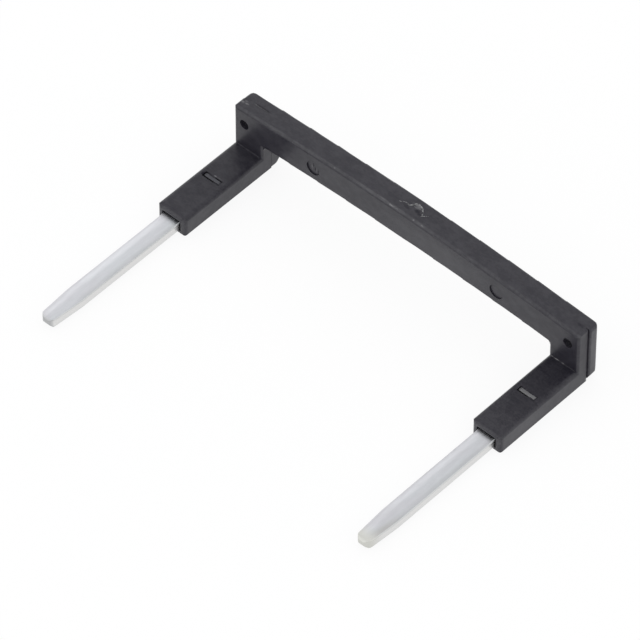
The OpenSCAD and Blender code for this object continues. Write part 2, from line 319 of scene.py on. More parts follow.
def rubbed_group():
    """Mask that is high near distance 0, weaker where a noise along the edge is below the cut."""
    inputs = {"Distance": 0.0, "Along": 0.0, "Reach": 0.25, "Cut": 0.45, "Per mm": 0.9, "Weakest": 0.5}
    group, source, out = new_group("rubbed_edge", inputs, ["Mask"])
    near = ramp(group, calc(group, "DIVIDE", source["Distance"], source["Reach"]), 1.0, RUB_FULL)
    vector = place(group, "ShaderNodeCombineXYZ", {"X": source["Along"], "Y": source["Distance"]}).outputs[0]
    inputs = {"Vector": vector, "Scale": source["Per mm"], "Detail": RUB_DETAIL, "Roughness": RUB_ROUGHNESS}
    noise = place(group, "ShaderNodeTexNoise", inputs).outputs[0]
    rubbed = ramp(group, calc(group, "SUBTRACT", noise, source["Cut"]), *RUB_STEP, source["Weakest"], 1.0)
    connect(group, out["Mask"], calc(group, "MULTIPLY", near, rubbed))
    return group


RUBBED = rubbed_group()
print("group:", RUBBED.name)

# %% [markdown]
# ## Where things are on the bar
# The marks on this part sit at known places: specks along the upper front edge, scuffs with a painted glint
# at the foot of the right-hand drop, a dark patch on the right end of the top. Places on the top are given as
# a distance along the bar and a distance behind its front face. The bar is slightly arched, so its top is
# worked out from the arc.

# %% Places on the bar
SHELL_THICKNESS = 1.25
ARCH = 0.65
GATE_RISE = 0.1
HALF_PITCH = 19.0
SLEEVE_TOP = 2.2
HOLE_X = 19.45
HOLE_Z = 5.2
BAR_TOP = housing_high.z / MM - GATE_RISE
BAR_HALF = housing_high.x / MM
FRONT_Y = housing_high.y / MM - SHELL_THICKNESS
MOUTH_Y = housing_low.y / MM
COVER_END = cover_high.x / MM
ARCH_RADIUS = BAR_HALF * BAR_HALF / (2 * ARCH)


def top_height(x):
    """Height of the bar's top in millimetres: the arch's crown minus x squared over twice its radius."""
    return BAR_TOP - x * x / (2 * ARCH_RADIUS)


def on_top(x, behind, above=0.0):
    """A place on the bar's top, by its distances along the bar, behind the front face and above the top."""
    return (x, FRONT_Y + behind, top_height(x) + above)


print("front face at y in mm:", round(FRONT_Y, 3), "bar top in mm:", round(BAR_TOP, 3))

# %% [markdown]
# ## The marks of use
# A bar that is pushed into sockets by hand gets specks and scuffs on its edges, dust in its hollows and dirt.
# An image could hold these marks, but it would be tied to one resolution, so each mark is a place in space
# with a size and a strength. It then also goes round an edge. The lists below name them all: the pale ones
# are dust and stress-whitened or scuffed plastic, and painted light: a highlight at the foot of the right
# seam, a glint where the right sleeve meets the bar, sheen on the sides of the sleeves and the cover's end,
# and lightened shade in the holes, the open seam and the gap round the left rib. The dark ones are dirt,
# torn hollows, and painted shade on the tops of the sleeves, beside the left hole and on the end of the
# front shell.

# %% Marks
# Specks on the upper front edge: place along the bar, half length and strength
BROW_SPECKS = [(-8.5, 0.2, 0.6), (-4.5, 0.45, 0.35), (-1.66, 0.5, 1.0), (-1.05, 0.3, 0.55), (-0.3, 0.6, 0.3),
               (0.55, 0.15, 0.25), (1.0, 0.16, 0.8), (2.0, 0.28, 0.7), (3.1, 0.5, 0.2), (7.9, 0.4, 0.35),
               (16.5, 0.3, 0.2), (18.0, 0.35, 0.3)]
BROW_HALF = 0.11
BROW_BEHIND = 0.12
BROW_BELOW = 0.05
# Scuffs and a painted glint where the right-hand sleeve meets the bar, written the same way
FOOT_SCUFFS_AND_GLINT = [(17.75, 0.18, 0.6), (18.3, 0.26, 0.9), (19.0, 0.2, 0.5)]
SCUFF_GLINT_HALF = 0.1
# Pale bits and dark patches on the top: along the bar, behind the front face, half sizes and strength
TOP_BITS = [(-20.4, 0.83, 0.3, 0.14, 0.7), (-19.9, 0.85, 0.25, 0.12, 0.6), (-20.15, 1.1, 0.2, 0.1, 0.4),
            (0.3, 1.58, 0.6, 0.3, 0.7)]
TOP_DARK_PATCHES = [(19.9, 1.2, 0.5, 0.25, 0.4), (-0.35, 0.85, 0.45, 0.18, 0.4), (0.6, 1.1, 0.4, 0.24, 0.6),
               (0.95, 0.95, 0.3, 0.2, 0.4), (-18.2, 1.4, 1.3, 0.28, 0.2)]
BIT_ABOVE = 0.05
BIT_HEIGHT = 0.2
DARK_PATCH_HEIGHT = 0.15
RECESS_Y = FRONT_Y + 0.1
# Other marks by where they are: middle, half sizes and strength
DUST_AND_PAINTED_LIGHT = {
    # Paler paint inside the two holes lightens the shade in them: painted light
    "left hole": ((-HOLE_X, FRONT_Y + 0.45, HOLE_Z), (0.6, 0.45, 0.6), 0.4),
    "right hole": ((HOLE_X, FRONT_Y + 0.45, HOLE_Z), (0.6, 0.45, 0.6), 0.4),
    # Paler paint in the open seam on the top lightens the shade in its groove: painted light
    "open seam on the top": ((-18.6, FRONT_Y + 1.33, top_height(18.6) - 0.12), (1.2, 0.14, 0.09), 0.5),
    # Painted highlight on the bottom edge at the foot of the right seam
    "foot of the right seam": ((BAR_HALF, FRONT_Y + 1.2, 0.35), (0.25, 0.16, 0.3), 0.9),
    "left recess, left side": ((-11.2, RECESS_Y, 5.6), (0.12, 0.15, 0.4), 0.3),
    "left recess, right side": ((-10.65, RECESS_Y, 5.5), (0.08, 0.15, 0.35), 0.25),
    # Paler paint in the gap behind the left rib and along the window's back edge lightens the gap's shade:
    # painted light
    "behind the left rib": ((-HALF_PITCH, 7.64, SLEEVE_TOP), (0.18, 0.1, 0.12), 0.9),
    "back edge of the left window": ((-18.5, 7.66, SLEEVE_TOP), (0.4, 0.07, 0.12), 0.25),
}
RUBS_AND_SHEEN = {
    "left mouth": ((-HALF_PITCH, MOUTH_Y, 1.1), (2.4, 0.2, 1.6), 0.22),
    "right mouth": ((HALF_PITCH, MOUTH_Y, 1.1), (2.4, 0.2, 1.6), 0.22),
    # Painted reflection: the sides of the sleeves made paler, as they mirror the white paper
    "left sleeve, inner side": ((-17.3, 3.0, 1.0), (0.15, 2.5, 1.3), 0.08),
    "right sleeve, outer side": ((BAR_HALF, 4.5, 1.0), (0.15, 3.6, 1.3), 0.12),
    "front face right of the middle": ((4.5, FRONT_Y, 5.6), (7.0, 0.25, 1.8), 0.12),
    # Painted reflection: the right end of the cover made paler
    "right end of the cover": ((COVER_END, 13.95, 4.2), (0.25, 0.9, 3.6), 0.2),
}
GREASE_AND_SHADE = {
    # Painted shade on the tops of both sleeves, strongest on the right one, where they mirror the bar behind
    # them
    "left sleeve's top": ((-HALF_PITCH, 6.5, SLEEVE_TOP), (2.2, 5.0, 0.4), 0.18),
    "right sleeve's top": ((HALF_PITCH + 0.3, 7.0, SLEEVE_TOP), (2.2, 5.0, 0.4), 0.38),
    # Painted shade beside the left hole, where the face mirrors the dark top of the sleeve below
    "beside the left hole": ((-18.4, FRONT_Y, 5.3), (1.0, 0.3, 1.0), 0.15),
    "left end of the left window": ((-19.98, 7.22, SLEEVE_TOP), (0.3, 0.4, 0.2), 0.9),
    # Painted shade on the right end of the front shell, next to the seam
    "right end of the front shell": ((BAR_HALF, 12.6, 4.6), (0.25, 0.75, 3.2), 0.14),
    "left recess, upper left": ((-11.05, RECESS_Y, 5.93), (0.14, 0.2, 0.3), 0.55),
    "left recess, middle": ((-10.82, RECESS_Y, 5.55), (0.12, 0.2, 0.35), 0.6),
    "left recess, right": ((-10.48, RECESS_Y, 5.43), (0.1, 0.2, 0.4), 0.55),
}
brow = [(on_top(x, BROW_BEHIND, -BROW_BELOW), (reach, BROW_HALF, BROW_HALF), share)
        for x, reach, share in BROW_SPECKS]
foot = [((x, FRONT_Y, SLEEVE_TOP), (reach, SCUFF_GLINT_HALF, SCUFF_GLINT_HALF), share) for x, reach, share in FOOT_SCUFFS_AND_GLINT]
bits = [(on_top(x, behind, BIT_ABOVE), (along, across, BIT_HEIGHT), share)
        for x, behind, along, across, share in TOP_BITS]
dark_patches = [(on_top(x, behind), (along, across, DARK_PATCH_HEIGHT), share)
           for x, behind, along, across, share in TOP_DARK_PATCHES]
pale = brow + foot + bits + [*DUST_AND_PAINTED_LIGHT.values(), *RUBS_AND_SHEEN.values()]
dark = dark_patches + [*GREASE_AND_SHADE.values()]
print("pale marks:", len(pale), "dark marks:", len(dark))

# %% [markdown]
# ## Spots
# In the shader each mark is a small soft ellipsoid: the distance from its middle, measured in its own half
# sizes, is 1 on its rim. A loop adds a few nodes for each spot and keeps the strongest. A little noise on
# the distance makes the rims ragged, as no real speck has a smooth outline.

# %% Groups: spots
RAGGED = 0.7
RAGGED_PER_MM = 7.0
RAGGED_DETAIL = 3.0
# Distances from a spot's middle, in half sizes, at which it fades to nothing and up to which it is full
SPOT_NONE = 1.2
SPOT_FULL = 0.3


def spot_group(name, spots):
    """Strongest of the spots: each is a smooth step down with the distance from its middle in half sizes."""
    group, _, out = new_group(name, {}, ["Mask"])
    at = use(group, MILLIMETRES)
    here = place(group, "ShaderNodeCombineXYZ", {axis: at[axis] for axis in "XYZ"}).outputs[0]
    inputs = {"Vector": here, "Scale": RAGGED_PER_MM, "Detail": RAGGED_DETAIL}
    noise = place(group, "ShaderNodeTexNoise", inputs).outputs[0]
    ragged = calc(group, "MULTIPLY_ADD", noise, 2 * RAGGED, -RAGGED)
    strongest = 0.0
    for centre, half, strength in spots:
        inputs = {0: here, 1: [1 / h for h in half], 2: [-c / h for c, h in zip(centre, half)]}
        offset = place(group, "ShaderNodeVectorMath", inputs, operation="MULTIPLY_ADD").outputs["Vector"]
        length = place(group, "ShaderNodeVectorMath", {0: offset}, operation="LENGTH").outputs["Value"]
        spot = ramp(group, calc(group, "ADD", length, ragged), SPOT_NONE, SPOT_FULL, 0.0, strength)
        strongest = calc(group, "MAXIMUM", strongest, spot)
    connect(group, out["Mask"], strongest)
    return group


PALE_SPOTS = spot_group("pale_spots", pale)
DARK_SPOTS = spot_group("dark_spots", dark)
print("groups:", PALE_SPOTS.name, DARK_SPOTS.name, "nodes:", len(PALE_SPOTS.nodes) + len(DARK_SPOTS.nodes))

# %% [markdown]
# ## Black moulded plastic
# The housing and its cover are a dull black plastic. Its own colour is nearly black, and the greys in the
# picture come from the white room mirrored in a half-rough skin: faces seen at a slant look paler than the
# top. The mould's grain goes into roughness and a very low bump, and the rubbed edge and the pale spots
# lighten the colour; the pale spots are partly dust and scuffs and partly painted light. The dark spots take
# the mirror away: a near-black metal mirrors almost nothing, so they raise Metallic, and they lower the
# weight of the smooth skin. Some of them are dirt and some are painted shade.

# %% Black plastic
BLACK = (0.0062, 0.0052, 0.0120, 1)
BLACK_CLOUD = (0.0227, 0.0214, 0.0290, 1)
SCUFF_AND_SHEEN = (0.150, 0.149, 0.156, 1)
PLASTIC_GRAIN = {"Fine per mm": 5.0, "Broad per mm": 1.4, "Stretch X": 1.6}
CLOUD_STEP = (0.7, 1.3)
# Place along the bar where the edge is rubbed most, and the distances from it where that ends and is full
RUB_MIDDLE = -1.2
RUB_FADE = (5.5, 3.0)
RUB_ELSEWHERE = 0.2
RUB_STRENGTH = 0.34
# The rubbed line lies a little behind and below the sharp edge that the rounding replaces
RUB_BEHIND = 0.14
RUB_BELOW = 0.06
# A wide soft lobe from the grain, and a narrower one from the smooth skin over it
BASE_GLOSS = 0.25
SKIN_WEIGHT = 0.5
SKIN_ROUGHNESS = 0.3
HOUSING_ROUGHNESS = 0.65
COVER_ROUGHNESS = 0.62
ROUGHNESS_SWING = 0.05
ROUGHNESS_SPAN = (0.25, 0.75)
BUMP_STRENGTH = 0.25
BUMP_DEPTH = 0.02


def brow_distance(tree, at):
    """Distance from the line along the bar's rounded upper front edge, in its section, in millimetres."""
    drop = calc(tree, "DIVIDE", calc(tree, "MULTIPLY", at["X"], at["X"]), 2 * ARCH_RADIUS)
    below = calc(tree, "SUBTRACT", calc(tree, "SUBTRACT", BAR_TOP - RUB_BELOW, drop), at["Z"])
    behind = calc(tree, "SUBTRACT", at["Y"], FRONT_Y + RUB_BEHIND)
    squares = calc(tree, "ADD", calc(tree, "MULTIPLY", below, below), calc(tree, "MULTIPLY", behind, behind))
    return calc(tree, "SQRT", squares)


def black_plastic(name, roughness):
    """Near-black plastic with grain, dull clouds, a rubbed upper edge, scuffs and dirt, and painted light and
    shade.
    """
    material, tree, shader = new_material(name)
    shader.inputs["Specular IOR Level"].default_value = BASE_GLOSS
    shader.inputs["Coat Roughness"].default_value = SKIN_ROUGHNESS
    at = use(tree, MILLIMETRES)
    grain = use(tree, GRAIN, PLASTIC_GRAIN)
    rubbed = use(tree, RUBBED, {"Distance": brow_distance(tree, at), "Along": at["X"]})["Mask"]
    aside = calc(tree, "ABSOLUTE", calc(tree, "SUBTRACT", at["X"], RUB_MIDDLE))
    share = ramp(tree, aside, *RUB_FADE, RUB_ELSEWHERE, RUB_STRENGTH)
    # Pale marks: the rubbed edge, scuffs and dust, and painted highlights, sheen and lightened shade
    scuffs_and_sheen = calc(tree, "MAXIMUM", calc(tree, "MULTIPLY", rubbed, share), use(tree, PALE_SPOTS)["Mask"])
    both = calc(tree, "ADD", grain["Fine"], grain["Broad"])
    skin = blend(tree, ramp(tree, both, *CLOUD_STEP), BLACK, BLACK_CLOUD)
    connect(tree, shader.inputs["Base Color"], blend(tree, scuffs_and_sheen, skin, SCUFF_AND_SHEEN))
    # Dark marks: dirt, and painted shade where the plastic mirrors its own dark faces
    dirt_and_shade = use(tree, DARK_SPOTS)["Mask"]
    connect(tree, shader.inputs["Metallic"], dirt_and_shade)
    connect(tree, shader.inputs["Coat Weight"], ramp(tree, dirt_and_shade, 0.0, 1.0, SKIN_WEIGHT, 0.0))
    swing = (roughness - ROUGHNESS_SWING, roughness + ROUGHNESS_SWING)
    connect(tree, shader.inputs["Roughness"], ramp(tree, grain["Fine"], *ROUGHNESS_SPAN, *swing))
    inputs = {"Height": grain["Fine"], "Strength": BUMP_STRENGTH, "Distance": BUMP_DEPTH * MM}
    connect(tree, shader.inputs["Normal"], place(tree, "ShaderNodeBump", inputs).outputs[0])
    return material


def dress(node, material):
    """Gives a whole solid one finish."""
    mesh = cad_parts[node].data
    mesh.materials.clear()
    mesh.materials.append(material)


housing_finish = black_plastic("black_housing", HOUSING_ROUGHNESS)
cover_finish = black_plastic("black_cover", COVER_ROUGHNESS)
dress("front_housing", housing_finish)
dress("back_cover", cover_finish)
print("plastic nodes dressed: front_housing, back_cover")

# %% [markdown]
# ## The cover's blunt corners
# On the real cover the four outer corners are blunt, as if pressed with a thumb, while its edges stay narrow.
# A bevel would widen the edges too. So a copy of the solid gets a fine grid near its ends, cut by planes, and
# every point beyond a limit along a corner's diagonal is moved back to it. The limit is soft, so the flat
# faces bend into the blunt spot with no new edge. The copy then stands for the cover.

# %% Blunt cover
GRID = 0.12
GRID_REACH = 1.8
MERGE = 1e-4
SHARP_ANGLE = math.radians(25)
# Side of the part or 0 for both, outward diagonal, how far its furthest point moves back, and the softness
COVER_CORNERS = [(0, (1, 1, 1), 0.07, 0.06), (0, (-1, 1, 1), 0.09, 0.06),
                 (0, (1, 1, -1), 0.08, 0.12), (0, (-1, 1, -1), 0.08, 0.12)]


def cover_cuts():
    """Places of the planes along X, Y and Z: near the ends, the back, the foot and the tops of the ends."""
    end_top = BAR_TOP - ARCH
    reach = np.arange(GRID, GRID_REACH, GRID)
    return [np.concatenate([cover_low.x / MM + reach, COVER_END - reach]),
            cover_high.y / MM - reach,
            np.concatenate([cover_low.z / MM + reach, end_top - reach])]


def gridded_copy(node, cuts):
    """A merged copy of a solid, cut by planes at the given places along X, Y and Z."""
    copy = bmesh.new()
    copy.from_mesh(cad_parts[node].data)
    bmesh.ops.remove_doubles(copy, verts=copy.verts, dist=MERGE * MM)
    for axis, places in enumerate(cuts):
        normal = Vector([float(axis == i) for i in range(3)])
        for spot in places:
            everything = copy.verts[:] + copy.edges[:] + copy.faces[:]
            point = normal * float(spot) * MM
            bmesh.ops.bisect_plane(copy, geom=everything, dist=MERGE * MM, plane_co=point, plane_no=normal)
    bmesh.ops.triangulate(copy, faces=copy.faces[:])
    mesh = bpy.data.meshes.new("blunt_" + node)
    copy.to_mesh(mesh)
    copy.free()
    return mesh


def blunted(points, outward, back, soft):
    """Points moved back along a diagonal by softness times ln(1 + e to the power of x).

    x is how far a point lies past the limit, over the softness. The limit lies softness times
    ln(e to the power of back over softness, minus 1) before the furthest point, which so moves back by back.
    """
    diagonal = np.array(outward) / np.linalg.norm(outward)
    along = points @ diagonal
    limit = along.max() - soft * math.log(math.expm1(back / soft))
    return points - soft * np.logaddexp(0, (along - limit) / soft)[:, None] * diagonal


def add_blunt(name, node, cuts, corners, material):
    """A copy of a solid with blunt corners, standing for that solid."""
    mesh = gridded_copy(node, cuts)
    points = np.empty(len(mesh.vertices) * 3, np.float32)
    mesh.vertices.foreach_get("co", points)
    points = points.reshape(-1, 3).astype(float) / MM
    for side, outward, back, soft in corners:
        chosen = points[:, 0] * side >= 0
        points[chosen] = blunted(points[chosen], outward, back, soft)
    mesh.vertices.foreach_set("co", (points * MM).astype(np.float32).ravel())
    mesh.polygons.foreach_set("use_smooth", np.ones(len(mesh.polygons), bool))
    mesh.set_sharp_from_angle(angle=SHARP_ANGLE)
    mesh.materials.clear()
    mesh.materials.append(material)
    blunt = bpy.data.objects.new(name, mesh)
    bpy.context.scene.collection.objects.link(blunt)
    even = blunt.modifiers.new("even_normals", "WEIGHTED_NORMAL")
    even.keep_sharp = True
    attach(blunt, "root")
    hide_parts(node)
    return mesh


cover_mesh = add_blunt("blunt_cover", "back_cover", cover_cuts(), COVER_CORNERS,
                       cover_finish)
print("blunt cover: points", len(cover_mesh.vertices), "faces", len(cover_mesh.polygons))

# %% [markdown]
# ## Tinned strip
# The strip is rolled copper alloy with a bright tin plate: a metal that mirrors the room softly. From left to
# right each pin has a dull rim, a pale band, a calmer middle and a greyer edge, painted as reflection and
# shade of the room across the pin, with lilac clouds over them. Its side face is painted pale, as it mirrors
# the white paper, between two rims of painted grey shade. The steps follow the taper to the tip. The right
# tip is worn to a cream tone, and the cut end of the left one is dull. The stamped rib in each window has
# lost its tin, so it is darker than the pins, and the left-hand one is darker than the right-hand one.

# %% Tin colours
# The colours down to the warm one are painted reflection and painted shade of the room across a pin
TIN_RIM = (0.640, 0.642, 0.665, 1)
TIN_PALE_SHEEN = (0.725, 0.734, 0.762, 1)
TIN_MIDDLE = (0.595, 0.614, 0.636, 1)
TIN_GREY_SHADE = (0.508, 0.525, 0.535, 1)
TIN_WARM_SHADE = (0.450, 0.452, 0.430, 1)
TIN_LILAC = (0.590, 0.580, 0.610, 1)
TIN_SIDE_SHEEN = (0.720, 0.718, 0.712, 1)
TIN_DULL = (0.300, 0.305, 0.315, 1)
TIN_CREAM = (0.620, 0.622, 0.585, 1)
TIN_CUT = (0.45, 0.455, 0.46, 1)
BARE_LEFT = (0.095, 0.095, 0.105, 1)
BARE_RIGHT = (0.20, 0.20, 0.205, 1)
PIN_TOP = 1.35
PIN_FOOT = 0.35
PIN_HALF = 0.975
TIP_HALF = 0.725
TAPER_LENGTH = 3.7
TIP_Y = metal_low.y / MM
# Steps of painted reflection and painted shade across a pin, from its middle line, and how far the first two
# move inwards at the tip
PALE_SHEEN_STEP = (-0.88, -0.6)
MIDDLE_STEP = (-0.5, -0.02)
GREY_SHADE_STEP = (0.35, 0.85)
TIP_INWARD = 0.15
# At the tip the painted grey shade starts further left on the right pin, and it is weaker on the left pin
TIP_GREY_SHIFT = 0.45
TIP_GREY_LOSS = 0.8
# Distances behind the tip over which the look of the taper and the cream tone come in
TAPER_LOOK = (5.0, 2.0)
CREAM_LOOK = (2.0, 0.2)
# Painted grey shade at the rims of the side faces: distances from the top and from the foot, and its strength
UPPER_RIM = (0.3, 0.05)
LOWER_RIM = (0.25, 0.02)
RIM_SHARE = 0.6


def across_pin(tree, at):
    """Millimetres from the middle line of a pin, stretched in the taper as if the pin kept its width."""
    middle = calc(tree, "MULTIPLY", calc(tree, "SIGN", at["X"]), HALF_PITCH)
    offset = calc(tree, "SUBTRACT", at["X"], middle)
    slope = (PIN_HALF - TIP_HALF) / TAPER_LENGTH
    widening = calc(tree, "MULTIPLY_ADD", at["Y"], slope, TIP_HALF - TIP_Y * slope)
    half = calc(tree, "MINIMUM", widening, PIN_HALF)
    return calc(tree, "MULTIPLY", calc(tree, "DIVIDE", offset, half), PIN_HALF)


def towards_tip(tree, at, look):
    """Mask that rises from 0 to 1 towards the tip, between two distances behind it."""
    return ramp(tree, at["Y"], TIP_Y + look[0], TIP_Y + look[1])


def pin_sheen_colour(tree, at, leftward, rightward):
    """Rim, pale band, middle and grey edge from left to right, as painted reflection and painted shade, each
    a smooth step over the one before it.
    """
    offset = across_pin(tree, at)
    taper = towards_tip(tree, at, TAPER_LOOK)
    inward = calc(tree, "MULTIPLY_ADD", taper, -TIP_INWARD, offset)
    colour = blend(tree, ramp(tree, inward, *PALE_SHEEN_STEP), TIN_RIM, TIN_PALE_SHEEN)
    colour = blend(tree, ramp(tree, inward, *MIDDLE_STEP), colour, TIN_MIDDLE)
    left_taper = calc(tree, "MULTIPLY", taper, leftward)
    right_taper = calc(tree, "MULTIPLY", taper, rightward)
    grey_from = calc(tree, "MULTIPLY_ADD", right_taper, -TIP_GREY_SHIFT, GREY_SHADE_STEP[0])
    grey_share = calc(tree, "MULTIPLY_ADD", left_taper, -TIP_GREY_LOSS, 1.0)
    grey = calc(tree, "MULTIPLY", ramp(tree, offset, grey_from, GREY_SHADE_STEP[1]), grey_share)
    return blend(tree, grey, colour, blend(tree, right_taper, TIN_GREY_SHADE, TIN_WARM_SHADE))


def side_sheen_colour(tree, at):
    """Tin painted pale as the paper it mirrors, with painted grey shade at the top and at the foot of a side
    face.
    """
    upper = ramp(tree, at["Z"], PIN_TOP - UPPER_RIM[0], PIN_TOP - UPPER_RIM[1])
    lower = ramp(tree, at["Z"], PIN_FOOT + LOWER_RIM[0], PIN_FOOT + LOWER_RIM[1])
    rims = calc(tree, "MULTIPLY", calc(tree, "MAXIMUM", upper, lower), RIM_SHARE)
    return blend(tree, rims, TIN_SIDE_SHEEN, TIN_GREY_SHADE)


print("pin tips at y in mm:", round(TIP_Y, 3))

# %% [markdown]
# ## The tin put together
# The parts of the finish are laid over one another: the steps across the pin, the clouds and fine streaks,
# the side faces, the two tips and the ribs. The direction that a face points in tells a side or an end from
# the top. It is read from the surface in the part's own frame, so the colours stay in place from any side.

# %% Tin on the strip
TIN_GRAIN = {"Fine per mm": 5.0, "Broad per mm": 0.7, "Stretch Y": 5.0}
CLOUD_SPAN = (0.4, 0.7)
CLOUD_SHARE = 0.6
STREAK_SPAN = (0.3, 0.7)
STREAK_SHARE = 0.08
# Share by which the right pin is painted darker: painted shade
RIGHT_PIN_SHADE = 0.1
# How much of a face's normal points sideways or forwards before it counts as a side or an end
FACING = (0.5, 0.9)
# Heights above the pins over which the bare rib takes over, and how much rougher it is
RIB_SPAN = (0.02, 0.1)
RIB_ROUGHER = 0.2
TIN_ROUGHNESS = (0.30, 0.40)


def tinned_metal():
    """Bright tin: painted reflection and shade across each pin, clouds, streaks, sides painted pale, worn
    tips and bare ribs.
    """
    material, tree, shader = new_material("bright_tin")
    shader.inputs["Metallic"].default_value = 1.0
    at = use(tree, MILLIMETRES)
    grain = use(tree, GRAIN, TIN_GRAIN)
    # 1 on the right-hand pin and 0 on the left-hand one, and the other way round
    rightward = ramp(tree, at["X"], -1.0, 1.0)
    leftward = calc(tree, "SUBTRACT", 1.0, rightward)
    colour = pin_sheen_colour(tree, at, leftward, rightward)
    colour = blend(tree, ramp(tree, grain["Broad"], *CLOUD_SPAN, 0.0, CLOUD_SHARE), colour, TIN_LILAC)
    colour = blend(tree, ramp(tree, grain["Fine"], *STREAK_SPAN, 0.0, STREAK_SHARE), colour, TIN_DULL)
    # Painted shade: the right pin a little darker overall
    colour = blend(tree, calc(tree, "MULTIPLY", rightward, RIGHT_PIN_SHADE), colour, TIN_DULL)
    normal = place(tree, "ShaderNodeTexCoord").outputs["Normal"]
    facing = place(tree, "ShaderNodeSeparateXYZ", {0: normal}).outputs
    # Side faces painted pale, as they mirror the white paper, with painted shade at their rims
    colour = blend(tree, ramp(tree, facing["X"], *FACING), colour, side_sheen_colour(tree, at))
    cream = calc(tree, "MULTIPLY", towards_tip(tree, at, CREAM_LOOK), rightward)
    colour = blend(tree, cream, colour, TIN_CREAM)
    cut = calc(tree, "MULTIPLY", ramp(tree, facing["Y"], -FACING[0], -FACING[1]), leftward)
    colour = blend(tree, cut, colour, TIN_CUT)
    above = ramp(tree, at["Z"], PIN_TOP + RIB_SPAN[0], PIN_TOP + RIB_SPAN[1])
    bare = blend(tree, rightward, BARE_LEFT, BARE_RIGHT)
    connect(tree, shader.inputs["Base Color"], blend(tree, above, colour, bare))
    dull = ramp(tree, grain["Fine"], *FINE_SPAN, *TIN_ROUGHNESS)
    rough = calc(tree, "ADD", dull, calc(tree, "MULTIPLY", above, RIB_ROUGHER))
    connect(tree, shader.inputs["Roughness"], rough)
    return material


tin_finish = tinned_metal()
dress("conductor", tin_finish)
print("metal node dressed: conductor")

# %% [markdown]
# ## The pins' blunt tips
# Tumbling and plating leave no sharp corner on a stamped pin. The edges of both end faces are slightly round,
# and the outer one of the right pin most of all. The same soft hold as on the cover does it: a fine grid at
# the tips, and one diagonal for each edge of each end face. The copy then stands for the strip.

# %% Blunt tips
TIP_GRID = 0.08
TIP_REACH = 0.9
TIP_SOFT = 0.05
# How far the left, right, upper and lower edge of each end face moves back: the left pin, then the right one
TIP_BACK = {-1: (0.03, 0.03, 0.05, 0.03), 1: (0.04, 0.12, 0.07, 0.05)}
TIP_DIAGONALS = [(-1, -1, 0), (1, -1, 0), (0, -1, 1), (0, -1, -1)]
TIP_EDGES = [(side, diagonal, back, TIP_SOFT)
             for side, backs in TIP_BACK.items() for diagonal, back in zip(TIP_DIAGONALS, backs)]


def tip_cuts():
    """Places of the planes along X, Y and Z: across both pins, behind their tips and in their thickness."""
    across = np.arange(-TIP_HALF, TIP_HALF, TIP_GRID)
    return [np.concatenate([across - HALF_PITCH, across + HALF_PITCH]),
            TIP_Y + np.arange(TIP_GRID, TIP_REACH, TIP_GRID),
            np.arange(PIN_FOOT + TIP_GRID, PIN_TOP, TIP_GRID)]


strip_mesh = add_blunt("blunt_strip", "conductor", tip_cuts(), TIP_EDGES, tin_finish)
print("blunt strip: points", len(strip_mesh.vertices), "faces", len(strip_mesh.polygons))

# %% [markdown]
# ## A frayed tube
# Torn plastic ends in hairs, and pushed plastic in slivers. A curve object with a bevel could make them, but
# a frayed hair changes its thickness all the time. So each is a ring of points carried along a smooth path,
# with a radius that wavers and runs out at both ends, and all its points are worked out as one array.

# %% Frayed tube
RINGS = 64
SIDES = 10
# Swing and rate of the two waves in the radius, a shift that differs with it, and its share at the ends
WAVER = 0.22
WAVER_RATE = 37
WAVER_SHIFT = 900
RIPPLE = 0.12
RIPPLE_RATE = 83
END_SHARE = 0.2


def smooth_path(controls, share):
    """Cubic curve: the four points weighted by (1-t)^3, 3(1-t)^2 t, 3(1-t) t^2 and t^3."""
    t = share[:, None]
    a, b, c, d = np.array(controls)
    return (1 - t) ** 3 * a + 3 * (1 - t) ** 2 * t * b + 3 * (1 - t) * t ** 2 * c + t ** 3 * d


def unit(vectors):
    """Each row divided by its length."""
    return vectors / np.linalg.norm(vectors, axis=1, keepdims=True)


def frayed_tube(controls, radius):
    """Rings round a path: centre plus radius times cosine sideways and sine upwards, with two end points.

    The radius wavers by two sine waves along the path and falls to a share at its ends, as half an ellipse.
    """
    share = np.linspace(0, 1, RINGS)
    centre = smooth_path(controls, share)
    forward = unit(np.gradient(centre, axis=0))
    sideways = unit(np.cross(forward, (0, 0, 1)))
    upwards = np.cross(sideways, forward)
    waver = WAVER * np.sin(WAVER_RATE * share + WAVER_SHIFT * radius)
    ripple = RIPPLE * np.sin(RIPPLE_RATE * share)
    thick = radius * (1 + waver + ripple) * (END_SHARE + (1 - END_SHARE) * np.sqrt(1 - (2 * share - 1) ** 2))
    angle = np.linspace(0, 2 * math.pi, SIDES, endpoint=False)[None, :, None]
    spoke = np.cos(angle) * sideways[:, None] + np.sin(angle) * upwards[:, None]
    rings = centre[:, None] + thick[:, None, None] * spoke
    points = np.vstack([rings.reshape(-1, 3), centre[:1], centre[-1:]]) * MM
    ring, spot = np.meshgrid(np.arange(RINGS - 1) * SIDES, np.arange(SIDES), indexing="ij")
    after = (spot + 1) % SIDES
    corners = [ring + spot, ring + after, ring + SIDES + after, ring + SIDES + spot]
    quads = np.stack(corners, -1).reshape(-1, 4)
    first = np.arange(SIDES)
    second = (first + 1) % SIDES
    last = (RINGS - 1) * SIDES
    start = np.stack([second, first, np.full(SIDES, RINGS * SIDES)], -1)
    end = np.stack([last + first, last + second, np.full(SIDES, RINGS * SIDES + 1)], -1)
    return points, quads.tolist() + start.tolist() + end.tolist()


def add_frayed(name, controls, radius, material):
    """One hair or burr as a closed mesh that rides on the part."""
    points, faces = frayed_tube(controls, radius)
    mesh = bpy.data.meshes.new(name)
    mesh.from_pydata(points.tolist(), [], faces)
    mesh.materials.append(material)
    mesh.polygons.foreach_set("use_smooth", np.ones(len(faces), bool))
    frayed = bpy.data.objects.new(name, mesh)
    bpy.context.scene.collection.objects.link(frayed)
    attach(frayed, "root")
    return points


print("points in a frayed tube:", RINGS * SIDES + 2)

